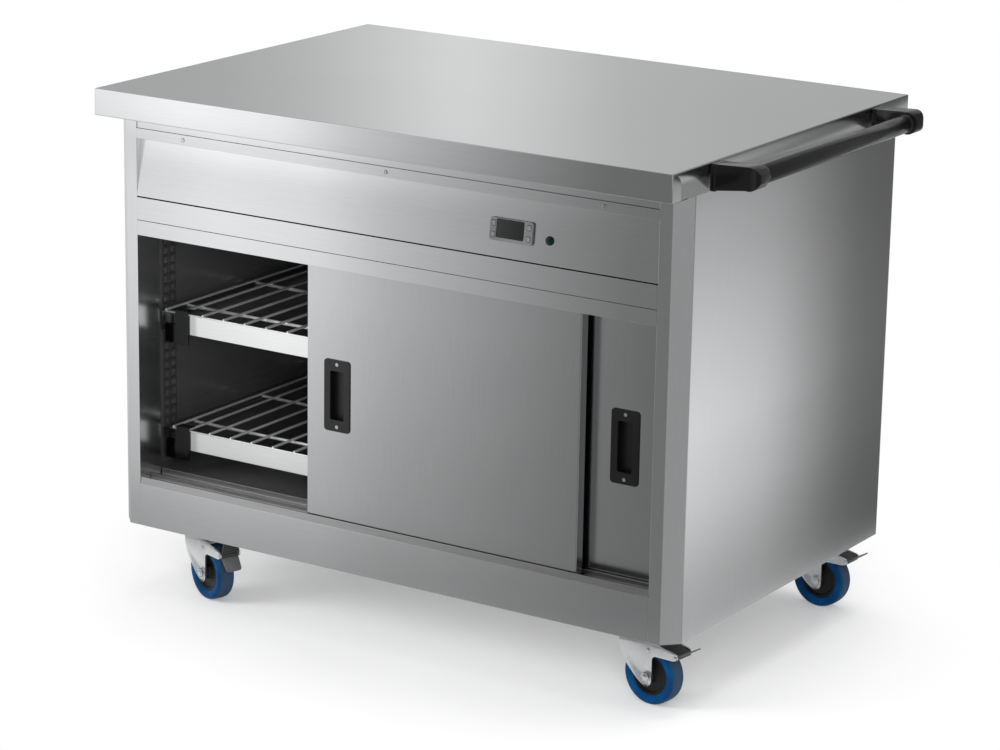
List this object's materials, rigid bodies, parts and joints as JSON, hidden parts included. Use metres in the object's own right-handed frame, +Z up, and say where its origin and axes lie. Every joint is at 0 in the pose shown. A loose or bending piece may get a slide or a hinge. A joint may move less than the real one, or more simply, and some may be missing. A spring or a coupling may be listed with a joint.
{
  "type": "hot cupboard trolley",
  "caption": "Mobile stainless steel hot cupboard with a flat worktop, two sliding doors, wire shelves, a control fascia, a push handle and swivel castors.",
  "frame": {"origin": "on the floor under the centre of the whole part's outline, the push handle included", "axes": "+X along the length towards the push handle, +Y from the doors towards the back, +Z up"},
  "size_m": [1.2, 0.795, 0.9],
  "materials": {
    "stainless": "fine vertical and lengthwise satin brushing",
    "liner_steel": "dull inner sheet",
    "zinc": "bright zinc plated",
    "chrome_wire": "bright chromed wire",
    "black_plastic": "satin moulded black",
    "handle_black": "satin black",
    "pedal_dark": "dark ribbed",
    "tyre_blue": "blue elastic rubber",
    "controller_grey": "light grey moulding",
    "display_black": "dark glossy window",
    "button_grey": "grey keys",
    "lamp_green": "dark green lens",
    "glide_nylon": "natural nylon",
    "motor_metal": "grey enamel",
    "element_steel": "heat-tinted tube",
    "fan_alu": "plain"
  },
  "bodies": {
    "cabinet": {"worktop": "stainless", "side_panels": "stainless", "corner_posts": "stainless", "back_panel": "stainless", "base_tray": "stainless", "kick_panel": "stainless", "header_rail": "stainless", "front_rail": "stainless", "top_track": "stainless", "sill_track": "stainless", "control_fascia": "stainless", "fascia_screws": "zinc", "controller_case": "controller_grey", "controller_window": "display_black", "indicator_lamp": "lamp_green", "liner_sides": "liner_steel", "liner_back": "liner_steel", "liner_floor": "liner_steel", "liner_ceiling": "liner_steel", "shelf_racks": "stainless", "air_baffle": "liner_steel", "fan_motor": "motor_metal", "heating_element": "element_steel", "cable_gland": "black_plastic", "handle_brackets": "handle_black", "handle_tube": "handle_black", "castor_plates": "zinc"},
    "front_door": {"front_door": "stainless", "front_door_pull": "black_plastic", "front_door_glides": "glide_nylon"},
    "rear_door": {"rear_door": "stainless", "rear_door_pull": "black_plastic", "rear_door_glides": "glide_nylon"},
    "upper_shelf": {"upper_shelf_band": "stainless", "upper_shelf_wires": "chrome_wire", "upper_shelf_clips": "black_plastic"},
    "lower_shelf": {"lower_shelf_band": "stainless", "lower_shelf_wires": "chrome_wire", "lower_shelf_clips": "black_plastic"},
    "fan": {"fan_impeller": "fan_alu"},
    "up_button": {"button_up": "button_grey"},
    "down_button": {"button_down": "button_grey"},
    "set_button": {"button_set": "button_grey"},
    "power_button": {"button_power": "button_grey"},
    "swivel_front_left": {"fork_front_left": "zinc"},
    "wheel_front_left": {"hub_front_left": "black_plastic", "tyre_front_left": "tyre_blue"},
    "brake_front_left": {"pedal_front_left": "pedal_dark"},
    "swivel_front_right": {"fork_front_right": "zinc"},
    "wheel_front_right": {"hub_front_right": "black_plastic", "tyre_front_right": "tyre_blue"},
    "brake_front_right": {"pedal_front_right": "pedal_dark"},
    "swivel_rear_left": {"fork_rear_left": "zinc"},
    "wheel_rear_left": {"hub_rear_left": "black_plastic", "tyre_rear_left": "tyre_blue"},
    "brake_rear_left": {"pedal_rear_left": "pedal_dark"},
    "swivel_rear_right": {"fork_rear_right": "zinc"},
    "wheel_rear_right": {"hub_rear_right": "black_plastic", "tyre_rear_right": "tyre_blue"},
    "brake_rear_right": {"pedal_rear_right": "pedal_dark"}
  },
  "joints": [
    {"name": "front_door_slide", "type": "slide", "parent": "cabinet", "child": "front_door", "axis": [1, 0, 0], "range_m": [-0.3415, 0.1275]},
    {"name": "rear_door_slide", "type": "slide", "parent": "cabinet", "child": "rear_door", "axis": [1, 0, 0], "range_m": [-0.469, 0]},
    {"name": "upper_shelf_lift", "type": "slide", "parent": "cabinet", "child": "upper_shelf", "axis": [0, 0, 1], "range_m": [0, 0.02]},
    {"name": "lower_shelf_lift", "type": "slide", "parent": "cabinet", "child": "lower_shelf", "axis": [0, 0, 1], "range_m": [0, 0.02]},
    {"name": "fan_spin", "type": "hinge", "parent": "cabinet", "child": "fan", "pos_m": [-0.0425, 0.3, 0.44], "axis": [0, 1, 0], "continuous": true},
    {"name": "up_button_press", "type": "slide", "parent": "cabinet", "child": "up_button", "axis": [0, 0.9915, -0.1299], "range_m": [0, 0.001], "stiffness_N_per_m": 300},
    {"name": "down_button_press", "type": "slide", "parent": "cabinet", "child": "down_button", "axis": [0, 0.9915, -0.1299], "range_m": [0, 0.001], "stiffness_N_per_m": 300},
    {"name": "set_button_press", "type": "slide", "parent": "cabinet", "child": "set_button", "axis": [0, 0.9915, -0.1299], "range_m": [0, 0.001], "stiffness_N_per_m": 300},
    {"name": "power_button_press", "type": "slide", "parent": "cabinet", "child": "power_button", "axis": [0, 0.9915, -0.1299], "range_m": [0, 0.001], "stiffness_N_per_m": 300},
    {"name": "swivel_front_left_turn", "type": "hinge", "parent": "cabinet", "child": "swivel_front_left", "pos_m": [-0.4835, -0.268, 0.112], "axis": [0, 0, 1], "continuous": true},
    {"name": "wheel_front_left_spin", "type": "hinge", "parent": "swivel_front_left", "child": "wheel_front_left", "pos_m": [-0.44616, -0.28234, 0.05], "axis": [0.3584, 0.9336, 0], "continuous": true},
    {"name": "brake_front_left_press", "type": "hinge", "parent": "swivel_front_left", "child": "brake_front_left", "pos_m": [-0.39481, -0.30205, 0.0935], "axis": [0.3584, 0.9336, 0], "range_deg": [-83, 0]},
    {"name": "swivel_front_right_turn", "type": "hinge", "parent": "cabinet", "child": "swivel_front_right", "pos_m": [0.3985, -0.268, 0.112], "axis": [0, 0, 1], "continuous": true},
    {"name": "wheel_front_right_spin", "type": "hinge", "parent": "swivel_front_right", "child": "wheel_front_right", "pos_m": [0.4382, -0.27287, 0.05], "axis": [0.1219, 0.9925, 0], "continuous": true},
    {"name": "brake_front_right_press", "type": "hinge", "parent": "swivel_front_right", "child": "brake_front_right", "pos_m": [0.49279, -0.27958, 0.0935], "axis": [0.1219, 0.9925, 0], "range_deg": [0, 83]},
    {"name": "swivel_rear_left_turn", "type": "hinge", "parent": "cabinet", "child": "swivel_rear_left", "pos_m": [-0.4835, 0.308, 0.112], "axis": [0, 0, 1], "continuous": true},
    {"name": "wheel_rear_left_spin", "type": "hinge", "parent": "swivel_rear_left", "child": "wheel_rear_left", "pos_m": [-0.44437, 0.31632, 0.05], "axis": [-0.2079, 0.9781, 0], "continuous": true},
    {"name": "brake_rear_left_press", "type": "hinge", "parent": "swivel_rear_left", "child": "brake_rear_left", "pos_m": [-0.39058, 0.32775, 0.0935], "axis": [-0.2079, 0.9781, 0], "range_deg": [0, 83]},
    {"name": "swivel_rear_right_turn", "type": "hinge", "parent": "cabinet", "child": "swivel_rear_right", "pos_m": [0.3985, 0.308, 0.112], "axis": [0, 0, 1], "continuous": true},
    {"name": "wheel_rear_right_spin", "type": "hinge", "parent": "swivel_rear_right", "child": "wheel_rear_right", "pos_m": [0.43844, 0.30591, 0.05], "axis": [0.0523, 0.9986, 0], "continuous": true},
    {"name": "brake_rear_right_press", "type": "hinge", "parent": "swivel_rear_right", "child": "brake_rear_right", "pos_m": [0.49337, 0.30303, 0.0935], "axis": [0.0523, 0.9986, 0], "range_deg": [0, 83]}
  ]
}
